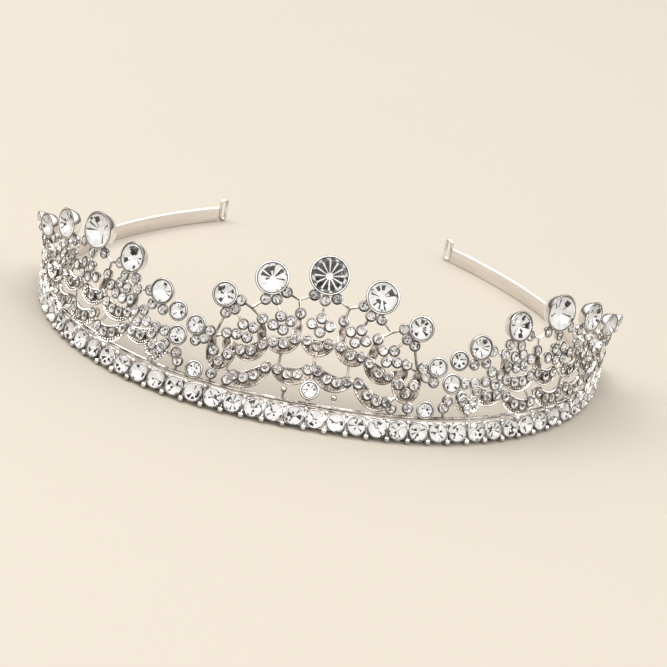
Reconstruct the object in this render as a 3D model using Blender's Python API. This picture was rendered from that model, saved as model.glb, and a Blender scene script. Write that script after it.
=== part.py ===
"""Bridal tiara: a C-shaped headband strip carrying a row of round settings and a leaning cast crest.

The crest is drawn on an unrolled strip: station runs along the base curve from the front centre,
height runs up the crest from the plane that the tiara stands on, and depth runs outwards from the
crest's surface. place() rolls that strip round the head. Units are metres, +Z is up, the wearer
faces -Y, and the origin is on the headband's lower edge at its front centre.
"""
import math

import bmesh
import bpy
from mathutils import Matrix, Vector

MM = 0.001
GAP = 0.3 * MM                      # clearance between pieces that touch on the real tiara

# Base curve: radius of curvature at stations along it, the same on both sides
CURVE_STATIONS = (0.0, 0.030, 0.060, 0.090, 0.120, 0.155)
CURVE_RADII = (0.172, 0.065, 0.058, 0.051, 0.060, 0.120)
CURVE_STEP = 0.5 * MM
CURVE_SPARE = 8                     # steps traced past the headband's end, for the end loops
# Crest lean from upright, top towards the head where negative
LEAN_STATIONS = (0.0, 0.030, 0.060, 0.100, 0.140)
LEAN_DEGREES = (-32.0, -22.0, -16.0, 7.0, 0.0)

BAND_HALF_LENGTH = 174.0 * MM
BAND_HEIGHT = 4.2 * MM
BAND_THICKNESS = 0.9 * MM
BAND_SEGMENTS = 50
LOOP_HEIGHT = 6.4 * MM
LOOP_WIDTH = 2.6 * MM
LOOP_WIRE = 0.45 * MM
LOOP_BENDS = 8
LOOP_SIDES = 8

ROW_PITCH = 4.9 * MM
ROW_COUNT = 22                      # settings on each side of the front centre
ROW_HEIGHT = 3.0 * MM
ROW_RADIUS = 2.3 * MM
ROW_DEPTH = 1.9 * MM
ROW_BACK = -0.9 * MM                 # depth of the row's back, in front of the headband
ROW_TIE_RADIUS = 0.55 * MM

CREST_DEPTH = -0.1 * MM             # depth of the crest wires' centre line
RAIL_HEIGHT = 6.2 * MM
RAIL_RADIUS = 0.52 * MM
WIRE_RADIUS = 0.5 * MM
SETTING_RADIUS = 1.15 * MM
SETTING_DEPTH = 1.6 * MM
SETTING_BACK = -0.8 * MM            # depth of the settings' back
BEAD_RADIUS = 0.85 * MM
SPLIT_STATION = 35.8 * MM           # the main crest meets each side crest here
CREST_END = 107.0 * MM
RAIL_STEP = 3.5 * MM
CENTRE_LINK = (19.8, 14.2, 9.4)     # mm of height that the wire on the centre line runs through
SETTING_SIDES = 6
PLATE_SIDES = 8
WIRE_SIDES = 4
STRIP_RADIUS = 1.0 * MM             # half thickness of a hanging crescent
WIRE_STEP = 0.02                    # each wire is a little thicker than the last, so no faces coincide
WIRE_SIZES = 7

CUP_WALL = 0.45 * MM
CUP_TAPER = 0.78                    # cup's back radius over its rim radius
CUP_RIM_DEPTH = 1.3 * MM            # depth of every cup's rim
CUP_DEPTH_RATIO = 0.28              # cup's depth over its diameter, above the extra depth
CUP_EXTRA_DEPTH = 0.5 * MM
CUP_FLOOR = 0.4 * MM
TABLE_RATIO = 0.5                   # crystal's table over its girdle
CROWN_RATIO = 0.16                  # height of a crystal above its cup over the cup's diameter
DROP_CROWN_RATIO = 0.2
STONE_SIDES = 8
FAN_CLEARANCE = 0.5 * MM            # between a cup's rim and its accent settings
FAN_REACH = 9.0                     # mm between two fans that a wire joins
CHAIN_REACH = 6.0                   # mm between two crescents that a wire joins
POST_REACH = 3.0                    # mm above the rail within which a single setting has its own post
BEAD_ROOM = 3.0                     # mm of post that is long enough for a bead
BEAD_DROP = 0.6                     # mm that a bead sits below the middle of its post
FORK_DROP = 1.0                     # mm that the fork of a Y wire hangs below its lower fan
HANG_REACH = 4.0                    # mm below a single setting where its wire looks for a crescent

SILVER = (0.80, 0.80, 0.82, 1.0)
CRYSTAL = (0.86, 0.88, 0.92, 1.0)

# Bezel-set stones on one half: name, station mm, height mm, cup diameter mm
TOP_STONES = (
    ("c0", 0.0, 36.6, 9.5),
    ("c1", 14.7, 33.2, 8.0),
    ("c2", 25.7, 26.9, 6.2),
    ("c3", 30.7, 18.2, 4.9),
    ("c4", 36.4, 19.9, 4.9),
    ("c5", 34.6, 14.5, 4.9),
    ("c6", 42.4, 22.8, 6.2),
    ("c7", 54.4, 27.0, 7.6),
    ("c8", 68.0, 28.7, 9.2),
    ("c9", 79.2, 25.6, 7.6),
    ("c10", 89.4, 20.6, 6.2),
    ("c11", 99.4, 17.2, 4.9),
    ("c12", 86.4, 14.6, 4.9),
)
DROP_STONES = (("d0", 0.0, 9.4, 4.6), ("d2", 28.2, 8.1, 4.4))

# Degrees that a cup on the side crests is turned back towards the wearer's front
CUP_TURNS = {"c8": 12.0, "c9": 14.0, "c10": 26.0, "c11": 20.0}

# Three accent settings under a cup: cup, first and last direction in degrees on the unrolled strip
FANS = (
    ("c0", -120, -60), ("c1", -151, -84), ("c2", -173, -106), ("c3", -172, -100),
    ("c6", -108, -15), ("c7", -122, -34), ("c8", -130, -50), ("c9", -146, -58),
)
# Lozenge plates that carry four settings: station mm, height mm, turn in degrees
LOZENGES = (
    (0.0, 24.8, 0), (9.8, 23.5, 22), (18.5, 19.8, 32),
    (46.6, 15.2, -15), (54.8, 18.4, -6), (68.0, 18.3, 0), (79.0, 17.2, 12),
)
LOZENGE_HALF_WIDTH = 3.3
LOZENGE_HALF_HEIGHT = 2.6
LOZENGE_DEPTH = 1.4 * MM
# Single settings under the wires that join two fans
Y_STONES = ((5.6, 26.6), (14.9, 23.5), (22.9, 18.3), (41.4, 14.3), (50.2, 20.6), (61.0, 20.2), (74.4, 19.6))
# Hanging crescents of settings: first and last setting mm, sag mm, count
UPPER_SCALLOPS = (
    ((-2.7, 20.7), (2.7, 20.7), 0.9, 3), ((5.8, 20.5), (11.1, 18.9), 0.8, 3),
    ((13.5, 17.7), (18.5, 15.3), 0.8, 3), ((21.3, 13.6), (25.0, 13.6), 2.0, 3),
    ((42.0, 12.5), (47.6, 11.2), 0.7, 3), ((50.6, 14.6), (58.2, 14.4), 0.9, 4),
    ((61.0, 15.0), (66.0, 14.2), 0.9, 3), ((69.9, 14.2), (75.0, 14.6), 0.9, 3),
    ((78.0, 13.6), (83.0, 12.2), 0.9, 3), ((90.0, 15.4), (95.0, 13.6), 0.9, 3),
)
LOWER_SCALLOPS = (
    ((1.2, 14.1), (8.5, 12.8), 1.2, 4), ((11.5, 12.6), (18.7, 9.2), 1.3, 4),
    ((38.2, 10.3), (40.9, 10.2), 1.0, 2), ((50.4, 10.6), (58.2, 8.2), 1.4, 4),
    ((61.2, 10.0), (68.0, 8.6), 1.4, 4), ((71.0, 9.2), (77.6, 9.0), 1.3, 4),
    ((80.6, 9.2), (87.2, 9.6), 1.3, 4), ((90.4, 9.6), (97.0, 9.0), 1.3, 4),
)
EXTRA_STONES = (
    (19.9, 7.9), (24.0, 8.3), (33.0, 8.7), (34.0, 10.4), (38.7, 14.3), (37.7, 11.3), (39.5, 8.2),
    (84.9, 19.0), (91.5, 16.2), (96.0, 15.0), (99.4, 13.0), (102.8, 15.0),
)


def interpolate(value, stations, results):
    """Value of a piecewise straight graph, held level past its ends."""
    if value <= stations[0]:
        return results[0]
    for k in range(len(stations) - 1):
        if value <= stations[k + 1]:
            share = (value - stations[k]) / (stations[k + 1] - stations[k])
            return results[k] + share * (results[k + 1] - results[k])
    return results[-1]


def trace_base_curve():
    """Points and headings of the base curve on the +X side, one every CURVE_STEP."""
    curvatures = [1.0 / radius for radius in CURVE_RADII]
    x, y, heading = 0.0, 0.0, 0.0
    points = [(x, y, heading)]
    for k in range(int(BAND_HALF_LENGTH / CURVE_STEP) + CURVE_SPARE):
        turn = interpolate((k + 0.5) * CURVE_STEP, CURVE_STATIONS, curvatures) * CURVE_STEP
        x += math.cos(heading + turn / 2) * CURVE_STEP
        y += math.sin(heading + turn / 2) * CURVE_STEP
        heading += turn
        points.append((x, y, heading))
    return points


BASE_CURVE = trace_base_curve()
# The base curve runs this far in front of the headband's middle at the front centre
BAND_INSET = (GAP + BAND_THICKNESS / 2 - ROW_BACK) / math.cos(math.radians(LEAN_DEGREES[0]))


def base_point(station):
    """Point on the base curve and the outward normal there."""
    side = -1.0 if station < 0 else 1.0
    position = abs(station) / CURVE_STEP
    k = min(int(position), len(BASE_CURVE) - 2)
    share = position - k
    x, y, heading = (a + share * (b - a) for a, b in zip(BASE_CURVE[k], BASE_CURVE[k + 1]))
    outward = Vector((side * math.sin(heading), -math.cos(heading), 0.0))
    return Vector((side * x, y - BAND_INSET, 0.0)), outward


def crest_frame(station, height, depth=0.0):
    """Matrix of a spot on the crest: Y runs up the crest and Z outwards from its surface."""
    point, normal = base_point(station)
    lean = math.radians(interpolate(abs(station), LEAN_STATIONS, LEAN_DEGREES))
    up = normal * math.sin(lean) + Vector((0, 0, 1)) * math.cos(lean)
    out = normal * math.cos(lean) - Vector((0, 0, 1)) * math.sin(lean)
    matrix = Matrix((up.cross(out), up, out)).transposed().to_4x4()
    matrix.translation = point + up * height + out * depth
    return matrix


def both_sides(stones):
    """Each stone with its mirror image, sizes in metres; one on the centre line stands once."""
    placed = []
    for name, station, height, diameter in stones:
        for side, tag in ((1, "_right"), (-1, "_left")) if station else ((1, ""),):
            placed.append((name + tag, side * station * MM, height * MM, diameter * MM))
    return placed


def place(station, height, depth=0.0):
    return crest_frame(station, height, depth).translation


def clear_scene():
    for obj in list(bpy.data.objects):
        bpy.data.objects.remove(obj, do_unlink=True)


def make_collection(name):
    collection = bpy.data.collections.new(name)
    bpy.context.scene.collection.children.link(collection)
    return collection


def make_material(name, colour, roughness, metallic, transmission=0.0):
    material = bpy.data.materials.new(name)
    material.use_nodes = True
    shader = material.node_tree.nodes["Principled BSDF"]
    shader.inputs["Base Color"].default_value = colour
    shader.inputs["Roughness"].default_value = roughness
    shader.inputs["Metallic"].default_value = metallic
    shader.inputs["Transmission Weight"].default_value = transmission
    return material


def add_object(name, mesh, collection, material=None):
    obj = bpy.data.objects.new(name, mesh)
    if material:
        mesh.materials.append(material)
    collection.objects.link(obj)
    return obj


def mesh_from(bm, name):
    mesh = bpy.data.meshes.new(name)
    bm.to_mesh(mesh)
    bm.free()
    return mesh


def turned_mesh(name, profile, sides):
    """Closed solid turned round Z from (radius, z) points that start and end on the axis."""
    bm = bmesh.new()
    verts = [bm.verts.new((radius, 0.0, z)) for radius, z in profile]
    edges = [bm.edges.new(pair) for pair in zip(verts, verts[1:])]
    bmesh.ops.spin(bm, geom=verts + edges, cent=(0, 0, 0), axis=(0, 0, 1), angle=math.tau, steps=sides)
    bmesh.ops.remove_doubles(bm, verts=bm.verts, dist=0.01 * MM)
    bmesh.ops.recalc_face_normals(bm, faces=bm.faces)
    return mesh_from(bm, name)


def bar_mesh(name, start, end, radius, sides=WIRE_SIDES):
    """Straight wire between two points, run on by half its radius at each end."""
    direction = (end - start).normalized()
    start = start - direction * radius / 2
    end = end + direction * radius / 2
    matrix = direction.to_track_quat("Z", "Y").to_matrix().to_4x4()
    matrix.translation = (start + end) / 2
    bm = bmesh.new()
    bmesh.ops.create_cone(bm, cap_ends=True, segments=sides, radius1=radius, radius2=radius,
                          depth=(end - start).length, matrix=matrix)
    return mesh_from(bm, name)


def tube_mesh(name, points, radius, sides=WIRE_SIDES, cyclic=False):
    """Tube with an even number of sides through points, closed with caps unless it is a ring."""
    curve = bpy.data.curves.new(name, "CURVE")
    curve.dimensions = "3D"
    curve.bevel_depth = radius
    curve.bevel_resolution = sides // 2 - 2
    curve.use_fill_caps = not cyclic
    spline = curve.splines.new("POLY")
    spline.points.add(len(points) - 1)
    for spot, point in zip(spline.points, points):
        spot.co = point.to_4d()
    spline.use_cyclic_u = cyclic
    source = bpy.data.objects.new(name, curve)
    bpy.context.scene.collection.objects.link(source)
    graph = bpy.context.evaluated_depsgraph_get()
    mesh = bpy.data.meshes.new_from_object(source.evaluated_get(graph))
    bpy.data.objects.remove(source)
    bm = bmesh.new()
    bm.from_mesh(mesh)
    bmesh.ops.remove_doubles(bm, verts=bm.verts, dist=0.01 * MM)
    bmesh.ops.recalc_face_normals(bm, faces=bm.faces)
    return mesh_from(bm, name)


def plate_mesh(name, station, height, turn, half_width, half_height, depth):
    """Flat lozenge with blunted corners, standing on the crest."""
    shape = Matrix.Rotation(-turn, 4, "Z") @ Matrix.Diagonal((half_width, half_height, 1.0, 1.0))
    bm = bmesh.new()
    bmesh.ops.create_cone(bm, cap_ends=True, segments=PLATE_SIDES, radius1=1.0, radius2=1.0, depth=depth,
                          matrix=crest_frame(station, height, CREST_DEPTH) @ shape)
    return mesh_from(bm, name)


def disc_mesh(name, station, height, radius, depth, back, sides=SETTING_SIDES):
    """Short cylinder standing on the crest, from the depth back outwards."""
    bm = bmesh.new()
    bmesh.ops.create_cone(bm, cap_ends=True, segments=sides, radius1=radius, radius2=radius, depth=depth,
                          matrix=crest_frame(station, height, back + depth / 2))
    return mesh_from(bm, name)


class Casting:
    """Solids that are joined into one body by a Boolean union."""

    def __init__(self, name, cutters):
        self.name = name
        self.cutters = cutters
        self.solids = bpy.data.collections.new(name + "_solids")
        cutters.children.link(self.solids)
        self.count = 0

    def add(self, mesh):
        obj = add_object("{}_solid_{}".format(self.name, self.count), mesh, self.solids)
        obj.hide_render = True
        obj.display_type = "WIRE"
        self.count += 1

    def setting(self, station, height):
        self.add(disc_mesh("setting", station, height, SETTING_RADIUS, SETTING_DEPTH, SETTING_BACK))

    def wire(self, *spots):
        """Wire through spots given as (station, height)."""
        points = [place(station, height, CREST_DEPTH) for station, height in spots]
        for start, end in zip(points, points[1:]):
            radius = WIRE_RADIUS * (1 + WIRE_STEP * (self.count % WIRE_SIZES))
            self.add(bar_mesh("wire", start, end, radius))

    def bead(self, station, height):
        bm = bmesh.new()
        bmesh.ops.create_icosphere(bm, subdivisions=1, radius=BEAD_RADIUS,
                                   matrix=crest_frame(station, height, CREST_DEPTH))
        self.add(mesh_from(bm, "bead"))

    def join(self, collection, material):
        """The union of all solids, as one object."""
        first = self.solids.objects[0]
        base = add_object(self.name, first.data.copy(), collection, material)
        self.solids.objects.unlink(first)
        bpy.data.objects.remove(first)
        union = base.modifiers.new("union", "BOOLEAN")
        union.operation = "UNION"
        union.solver = "EXACT"
        union.operand_type = "COLLECTION"
        union.collection = self.solids
        union.use_self = True
        graph = bpy.context.evaluated_depsgraph_get()
        joined = bpy.data.meshes.new_from_object(base.evaluated_get(graph))
        base.modifiers.clear()
        base.data = joined
        for obj in list(self.solids.objects):
            bpy.data.objects.remove(obj, do_unlink=True)
        return base


def make_headband(collection, material):
    """Flat strip with a level lower edge, bent along the base curve and leaning with the crest."""
    bm = bmesh.new()
    bmesh.ops.create_cube(bm, size=1.0)
    long_edges = [e for e in bm.edges if abs(e.verts[0].co.x - e.verts[1].co.x) > 0.5]
    bmesh.ops.subdivide_edges(bm, edges=long_edges, cuts=BAND_SEGMENTS - 1, use_grid_fill=True)
    for vert in bm.verts:
        station = vert.co.x * 2 * BAND_HALF_LENGTH
        height = (vert.co.z + 0.5) * BAND_HEIGHT
        depth = ROW_BACK - GAP - (0.5 + vert.co.y) * BAND_THICKNESS
        point, normal = base_point(station)
        lean = math.radians(interpolate(abs(station), LEAN_STATIONS, LEAN_DEGREES))
        vert.co = point + normal * (depth / math.cos(lean) + height * math.tan(lean))
        vert.co.z = height
    return add_object("headband", mesh_from(bm, "headband"), collection, material)


def make_end_loop(name, side, collection, material):
    """Upright oblong wire loop at one end of the headband."""
    matrix = crest_frame(side * (BAND_HALF_LENGTH + LOOP_WIDTH / 2 + GAP), LOOP_HEIGHT / 2,
                         ROW_BACK - GAP - BAND_THICKNESS / 2)
    half_width = LOOP_WIDTH / 2 - LOOP_WIRE
    half_rise = LOOP_HEIGHT / 2 - LOOP_WIRE - half_width
    points = []
    for start, rise in ((0.0, half_rise), (math.pi, -half_rise)):
        for k in range(LOOP_BENDS):
            turn = start + k * math.pi / (LOOP_BENDS - 1)
            spot = Vector((half_width * math.cos(turn), rise + half_width * math.sin(turn), 0.0))
            points.append(matrix @ spot)
    loop = tube_mesh(name, points, LOOP_WIRE, LOOP_SIDES, cyclic=True)
    return add_object(name, loop, collection, material)


def make_base_row(collection, cutters, material):
    """One chain of round settings, tied behind by a wire."""
    row = Casting("base_row", cutters)
    tie_depth = ROW_BACK + ROW_TIE_RADIUS
    for k in range(-ROW_COUNT, ROW_COUNT):
        station = (k + 0.5) * ROW_PITCH
        row.add(disc_mesh("row_setting", station, ROW_HEIGHT, ROW_RADIUS, ROW_DEPTH, ROW_BACK))
        if k > -ROW_COUNT:
            start = place(station - ROW_PITCH, ROW_HEIGHT, tie_depth)
            row.add(bar_mesh("row_tie", start, place(station, ROW_HEIGHT, tie_depth), ROW_TIE_RADIUS))
    return row.join(collection, material)


def fan_settings(fan):
    """The three accent settings under a cup, in mm."""
    name, first, last = fan
    station, height, diameter = next(stone[1:] for stone in TOP_STONES if stone[0] == name)
    reach = diameter / 2 + (FAN_CLEARANCE + SETTING_RADIUS) / MM
    angles = [math.radians(first + k * (last - first) / 2) for k in range(3)]
    return [(station + reach * math.cos(a), height + reach * math.sin(a)) for a in angles]


def scallop_spots(scallop):
    """Spots along a hanging arc, in mm."""
    (x0, y0), (x1, y1), sag, count = scallop
    spots = []
    for k in range(count):
        t = k / (count - 1)
        spots.append((x0 + t * (x1 - x0), y0 + t * (y1 - y0) - 4 * sag * t * (1 - t)))
    return spots


def nearest(spot, spots):
    return min(spots, key=lambda other: math.dist(spot, other))


def crest_half():
    """Settings, wires, strips and beads of one half of the crest, in mm on the unrolled strip."""
    wires, beads = [], []
    fans = [fan_settings(fan) for fan in FANS]
    uppers = [scallop_spots(scallop) for scallop in UPPER_SCALLOPS]
    lowers = [scallop_spots(scallop) for scallop in LOWER_SCALLOPS]
    rail = RAIL_HEIGHT / MM
    upper_chain = [spot for scallop in uppers for spot in scallop]
    lower_chain = [spot for scallop in lowers for spot in scallop]
    fan_spots = [spot for fan in fans for spot in fan]
    for station, height, _ in LOZENGES:
        wires.append([(station, height), nearest((station, height), fan_spots)])
        wires.append([(station, height), nearest((station, height), upper_chain)])
    for left, right in zip(fans, fans[1:]):
        if right[0][0] - left[-1][0] < FAN_REACH:
            low = ((left[-1][0] + right[0][0]) / 2, min(left[-1][1], right[0][1]) - FORK_DROP)
            wires.append([left[-1], low, right[0]])
            wires.append([low, nearest(low, Y_STONES)])
    for spot in Y_STONES:
        wires.append([spot, nearest((spot[0], spot[1] - HANG_REACH), upper_chain)])
    for chain in (uppers, lowers):
        ends = [(left[-1], right[0]) for left, right in zip(chain, chain[1:])]
        wires += [pair for pair in ends if math.dist(*pair) < CHAIN_REACH]
    for k, spot in enumerate(EXTRA_STONES):
        wires.append([spot, nearest(spot, upper_chain + lower_chain + fan_spots + list(EXTRA_STONES[:k]))])
        if spot[1] - rail < POST_REACH:
            wires.append([spot, (spot[0], rail)])
    for scallop in lowers:
        middle = scallop[len(scallop) // 2]
        wires.append([middle, (middle[0], rail)])
        wires.append([scallop[-1], nearest(scallop[-1], upper_chain)])
        if middle[1] - rail > BEAD_ROOM:
            beads.append((middle[0], (middle[1] + rail) / 2 - BEAD_DROP))
    settings = list(Y_STONES) + list(EXTRA_STONES)
    return settings, wires, uppers + lowers + fans, beads


def make_crest(name, low, high, collection, cutters, material):
    """The crest casting between two stations; a side crest is the part beyond SPLIT_STATION."""
    casting = Casting(name, cutters)
    settings, wires, strips, beads = crest_half()
    margin = (SETTING_RADIUS + GAP) / MM
    seen = set()

    def fresh(*spots):
        """True once for each set of spots that lies on this casting."""
        key = tuple(sorted((round(station, 2), round(height, 2)) for station, height in spots))
        inside = all(low / MM + margin < station < high / MM - margin for station, height in spots)
        if not inside or key in seen:
            return False
        seen.add(key)
        return True

    for side in (1, -1):
        for station, height in settings:
            if fresh((side * station, height)):
                casting.setting(side * station * MM, height * MM)
        for station, height, turn in LOZENGES:
            if fresh((side * station, height)):
                casting.add(plate_mesh("lozenge", side * station * MM, height * MM,
                                       side * math.radians(turn), LOZENGE_HALF_WIDTH * MM,
                                       LOZENGE_HALF_HEIGHT * MM, LOZENGE_DEPTH))
        for spots in wires:
            for (s0, h0), (s1, h1) in zip(spots, spots[1:]):
                if fresh((side * s0, h0), (side * s1, h1)):
                    casting.wire((side * s0 * MM, h0 * MM), (side * s1 * MM, h1 * MM))
        for strip in strips:
            if fresh(*[(side * station, height) for station, height in strip]):
                points = [place(side * s * MM, h * MM, CREST_DEPTH) for s, h in strip]
                casting.add(tube_mesh("strip", points, STRIP_RADIUS))
        for station, height in beads:
            if fresh((side * station, height)):
                casting.bead(side * station * MM, height * MM)
    length = high - low
    for name, station, height, diameter in both_sides(DROP_STONES):
        if low < station < high:
            casting.add(disc_mesh(name, station, height, diameter / 2, SETTING_DEPTH, SETTING_BACK))
            casting.wire((station, height), (station, RAIL_HEIGHT))
    steps = round(length / RAIL_STEP)
    ends = [low + GAP / 2 + k * (length - GAP) / steps for k in range(steps + 1)]
    rail = [place(station, RAIL_HEIGHT, CREST_DEPTH) for station in ends]
    casting.add(tube_mesh("rail", rail, RAIL_RADIUS))
    if low < 0 < high:
        casting.wire(*[(0, height * MM) for height in CENTRE_LINK])
    return casting.join(collection, material)


def make_crystal(name, matrix, girdle, table, girdle_height, culet, collection, material):
    """Faceted crystal with a flat table, its culet and its heights measured along the matrix's Z."""
    profile = ((0, table), (girdle * TABLE_RATIO, table), (girdle, girdle_height + GAP),
               (girdle, girdle_height - GAP / 2), (0, culet))
    body = turned_mesh("crystal", profile, STONE_SIDES)
    stone = add_object("crystal_" + name, body, collection, material)
    stone.matrix_world = matrix


def make_drop(name, station, height, diameter, collection, crystal):
    """Crystal of a drop stone, in front of the flat setting that the crest casting carries."""
    matrix = crest_frame(station, height, SETTING_BACK + SETTING_DEPTH + GAP)
    make_crystal(name, matrix, diameter / 2 - CUP_WALL, DROP_CROWN_RATIO * diameter, 2 * GAP, 0.0,
                 collection, crystal)


def make_stone(name, station, height, diameter, collection, silver, crystal):
    """Tapered bezel cup and the faceted crystal that sits in it."""
    rim = diameter / 2
    bore = rim - CUP_WALL
    depth = CUP_DEPTH_RATIO * diameter + CUP_EXTRA_DEPTH
    towards_front = math.copysign(math.radians(CUP_TURNS.get(name.split("_")[0], 0.0)), -station)
    matrix = crest_frame(station, height, CUP_RIM_DEPTH - depth) @ Matrix.Rotation(towards_front, 4, "Y")
    cup_profile = ((0, CUP_FLOOR), (bore * CUP_TAPER, CUP_FLOOR), (bore, depth), (rim, depth),
                   (rim * CUP_TAPER, 0), (0, 0))
    cup = add_object("cup_" + name, turned_mesh("cup", cup_profile, STONE_SIDES), collection, silver)
    cup.matrix_world = matrix
    make_crystal(name, matrix, bore - GAP, depth + CROWN_RATIO * diameter, depth, CUP_FLOOR + GAP,
                 collection, crystal)


def make_tiara():
    clear_scene()
    parts = make_collection("bridal_tiara")
    cutters = make_collection("cutters")
    band_metal = make_material("band_silver", SILVER, 0.22, 1.0)
    cast_metal = make_material("cast_silver", SILVER, 0.18, 1.0)
    crystal = make_material("crystal", CRYSTAL, 0.02, 0.0, transmission=0.6)
    make_headband(parts, band_metal)
    make_end_loop("end_loop_right", 1, parts, band_metal)
    make_end_loop("end_loop_left", -1, parts, band_metal)
    make_base_row(parts, cutters, cast_metal)
    make_crest("crest_main", -SPLIT_STATION, SPLIT_STATION, parts, cutters, cast_metal)
    make_crest("crest_right", SPLIT_STATION, CREST_END, parts, cutters, cast_metal)
    make_crest("crest_left", -CREST_END, -SPLIT_STATION, parts, cutters, cast_metal)
    for name, station, height, diameter in both_sides(TOP_STONES):
        make_stone(name, station, height, diameter, parts, cast_metal, crystal)
    for name, station, height, diameter in both_sides(DROP_STONES):
        make_drop(name, station, height, diameter, parts, crystal)


make_tiara()
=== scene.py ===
"""Looks of the bridal tiara: polished castings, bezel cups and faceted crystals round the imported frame.

The crest is drawn on the same unrolled strip as the CAD part: station along the base curve from the
front centre, height up the leaning crest, depth outwards from its surface. Units are metres.
"""
import math
import random

import bmesh
import bpy
from mathutils import Matrix, Vector


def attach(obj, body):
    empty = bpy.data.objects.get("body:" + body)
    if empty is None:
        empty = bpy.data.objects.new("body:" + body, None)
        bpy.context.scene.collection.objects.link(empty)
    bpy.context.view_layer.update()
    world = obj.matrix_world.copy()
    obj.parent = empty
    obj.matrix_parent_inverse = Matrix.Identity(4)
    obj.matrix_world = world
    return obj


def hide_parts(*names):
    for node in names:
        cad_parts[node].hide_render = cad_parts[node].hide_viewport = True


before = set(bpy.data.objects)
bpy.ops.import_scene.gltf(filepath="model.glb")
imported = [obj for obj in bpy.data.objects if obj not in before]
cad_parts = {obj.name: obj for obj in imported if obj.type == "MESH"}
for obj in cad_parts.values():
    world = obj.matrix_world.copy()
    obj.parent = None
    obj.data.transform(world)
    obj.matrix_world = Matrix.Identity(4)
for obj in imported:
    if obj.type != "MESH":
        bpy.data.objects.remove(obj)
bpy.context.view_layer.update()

MM = 0.001
GAP = 0.3 * MM

# Base curve and lean of the crest, as in the CAD part
CURVE_STATIONS = (0.0, 0.030, 0.060, 0.090, 0.120, 0.155)
CURVE_RADII = (0.172, 0.065, 0.058, 0.051, 0.060, 0.120)
CURVE_STEP = 0.5 * MM
CURVE_SPARE = 8                     # steps traced past the headband's end, for the end loops
LEAN_STATIONS = (0.0, 0.030, 0.060, 0.100, 0.140)
LEAN_DEGREES = (-32.0, -22.0, -16.0, 7.0, 0.0)

BAND_HALF_LENGTH = 174.0 * MM
BAND_HEIGHT = 4.2 * MM
BAND_THICKNESS = 0.9 * MM
BAND_EDGE = 0.28 * MM               # radius of the strip's rounded edges
BAND_STEPS = 240
LOOP_HEIGHT = 6.4 * MM
LOOP_WIDTH = 2.6 * MM
LOOP_WIRE = 0.45 * MM
LOOP_BEND_STEPS = 13
LOOP_SIDES = 14
ROW_PITCH = 4.9 * MM
ROW_COUNT = 22
ROW_HEIGHT = 3.0 * MM
ROW_BACK = -0.9 * MM
CREST_DEPTH = -0.1 * MM
RAIL_HEIGHT = 6.2 * MM
RAIL_RADIUS = 0.42 * MM
SPLIT_STATION = 35.8 * MM
CREST_END = 107.0 * MM
CUP_RIM_DEPTH = 1.3 * MM
CUP_TAPER = 0.78
CUP_DEPTH_RATIO = 0.28              # cup's depth over its diameter, above the extra depth
CUP_EXTRA_DEPTH = 0.5 * MM
DROP_CUP_DEPTH = 1.5 * MM
DROP_CUP_BACK = -0.6 * MM
STONE_RECESS = 0.10 * MM            # girdle of a large stone below its cup's rim
STONE_MARGIN = 0.58 * MM            # girdle inside its cup's outer edge
STONE_FLOOR = 0.8 * MM              # cup's depth that its stone's point leaves free
STONE_CROWN_RATIO = 0.085           # crown height over the cup's diameter

# Small round collets: profile of (radius, height) in mm, and which of its segments are painted dark as shade
COLLET = ((0, -0.8), (1.00, -0.8), (1.24, -0.55), (1.39, 0.24), (1.27, 0.43), (1.15, 0.46), (1.04, 0.30),
          (0.95, 0.0), (0, -0.3))
COLLET_DARK = (3, 5, 6, 7)
# Base row collets the same way: profile in mm, then the segments painted dark as shade
ROW_COLLET = ((0, -0.9), (1.75, -0.9), (2.05, -0.5), (2.26, 0.45), (2.31, 0.74), (2.28, 0.84), (2.21, 0.86),
              (2.17, 0.78), (2.12, 0.35), (1.2, -0.45), (0, -0.6))
ROW_COLLET_DARK = (1, 7, 8, 9)
PRONG_HEIGHTS = (0.9, 2.4, 3.6, 5.1)        # mm
PRONG_RADIUS = 0.26 * MM
# Ball beads at each joint of the row: height, depth and radius in mm
ROW_BEADS = ((0.78, 0.55, 0.72), (5.05, 0.40, 0.50))
ROW_WIRE_RADIUS = 0.4 * MM
ROW_WIRE_DEPTH = -0.5 * MM

WIRE_RADIUS = 0.31 * MM
WIRE_SHARES = (0, 0.33, 0.67, 1)
CENTRE_WIRE_RADIUS = 0.42 * MM
CENTRE_WIRE = (19.8, 17.0, 14.2, 12.0)      # mm of height that the wire on the centre line runs through
DROP_POST_RADIUS = 0.45 * MM
DROP_POST_DEPTH = -0.4 * MM
POST_BEAD_RADIUS = 0.78 * MM
RAIL_STEP = 2 * MM

# Rules that join the crest's parts, in mm
FAN_CLEARANCE = 1.15                # from a cup's edge to the centres of the stones under it
FORK_REACH = 9.0                    # between two fans that a Y wire joins
FORK_DROP = 1.0                     # that its fork hangs below the lower fan
HANG_REACH = 4.0                    # below a Y stone where its leaf looks for a crescent
CHAIN_REACH = 6.0                   # between two crescents that a wire joins
RAIL_REACH = 3.0                    # above the rail within which a single stone stands on it
BEAD_ROOM = 3.0                     # of post that is long enough for a bead
BEAD_DROP = 0.6                     # that a bead sits below the middle of its post

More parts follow.
